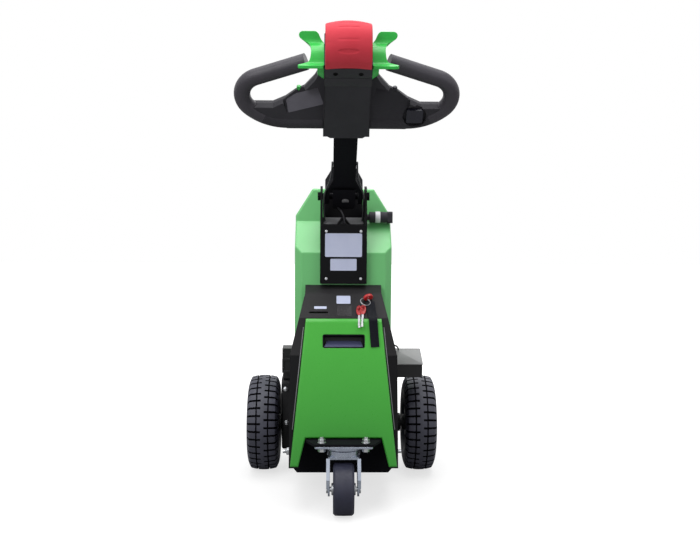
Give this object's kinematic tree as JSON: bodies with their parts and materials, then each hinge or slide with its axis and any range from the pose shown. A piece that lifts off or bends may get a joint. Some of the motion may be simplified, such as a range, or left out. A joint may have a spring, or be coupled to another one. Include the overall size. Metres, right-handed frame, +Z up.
{
  "type": "electric tow tractor",
  "caption": "Compact pedestrian electric tow tug with block-tread drive wheels, a rear swivel castor, a sloping battery bay, a stepped hood and a tiller with looped grips.",
  "frame": {"origin": "centre of the footprint of the whole machine, on the floor", "axes": "+X to the right as the operator stands behind the tiller, +Y forward to the tow jaw, +Z up"},
  "size_m": [0.522, 0.9732, 1.1185],
  "materials": {
    "green_paint": "semi-gloss powder coat",
    "black_paint": "fine-texture powder coat",
    "zinc": "bright zinc plate",
    "steel": "turned steel",
    "cast": "painted casting",
    "tyre": "matt",
    "castor_rubber": "matt",
    "castor_core": "as cast",
    "rim": "silver paint",
    "black_plastic": "fine grain",
    "grip": "matt",
    "red_plastic": "satin",
    "green_plastic": "satin",
    "grey_plastic": "satin",
    "battery_case": "grained",
    "key_red": "satin",
    "strap": "woven",
    "cable": "matt"
  },
  "bodies": {
    "chassis": {"frame_left": "black_paint", "frame_right": "black_paint", "floor_plate": "black_paint", "castor_well_wall": "black_paint", "front_plate": "black_paint", "deck_plate": "black_paint", "rear_bracket": "black_paint", "control_housing": "black_paint", "battery_cover": "green_paint", "battery_pack": "battery_case", "hood": "green_paint", "tiller_bracket": "black_paint", "bracket_cover_plate": "black_paint", "pivot_shaft": "zinc", "release_lever": "black_plastic", "key_switch": "steel", "key_set": "key_red", "key_tag": "strap", "drive_axle": "cast", "drive_motor": "cast", "gear_case_left": "cast", "brake_box_left": "black_plastic", "side_box_right": "grey_plastic", "side_box_cable": "cable", "tow_jaw": "black_paint", "jaw_bolts": "zinc", "castor_plate": "zinc", "castor_bolts": "zinc"},
    "drive_wheel_left": {"tyre_left": "tyre", "rim_left": "rim", "hub_left": "steel"},
    "drive_wheel_right": {"tyre_right": "tyre", "rim_right": "rim", "hub_right": "steel"},
    "castor_fork": {"castor_fork": "zinc", "castor_axle": "zinc"},
    "castor_wheel": {"castor_tyre": "castor_rubber", "castor_core": "castor_core"},
    "tiller": {"tiller_arm": "black_paint", "head_housing": "black_plastic", "head_cover": "black_plastic", "grip_left": "grip", "grip_right": "grip", "belly_button": "red_plastic", "thumb_paddle_left": "green_plastic", "thumb_paddle_right": "green_plastic", "wing_switch_left": "green_plastic", "wing_switch_right": "black_plastic"}
  },
  "joints": [
    {"name": "drive_spin_left", "type": "hinge", "parent": "chassis", "child": "drive_wheel_left", "pos_m": [-0.213, 0.25663, 0.13], "axis": [1, 0, 0], "continuous": true},
    {"name": "drive_spin_right", "type": "hinge", "parent": "chassis", "child": "drive_wheel_right", "pos_m": [0.213, 0.25663, 0.13], "axis": [1, 0, 0], "continuous": true},
    {"name": "castor_swivel", "type": "hinge", "parent": "chassis", "child": "castor_fork", "pos_m": [0, -0.10237, 0.17], "axis": [0, 0, 1], "continuous": true},
    {"name": "castor_spin", "type": "hinge", "parent": "castor_fork", "child": "castor_wheel", "pos_m": [0, -0.13837, 0.0625], "axis": [1, 0, 0], "continuous": true},
    {"name": "tiller_tilt", "type": "hinge", "parent": "chassis", "child": "tiller", "pos_m": [0, 0.10263, 0.758], "axis": [-1, 0, 0], "range_deg": [-20, 60]}
  ]
}
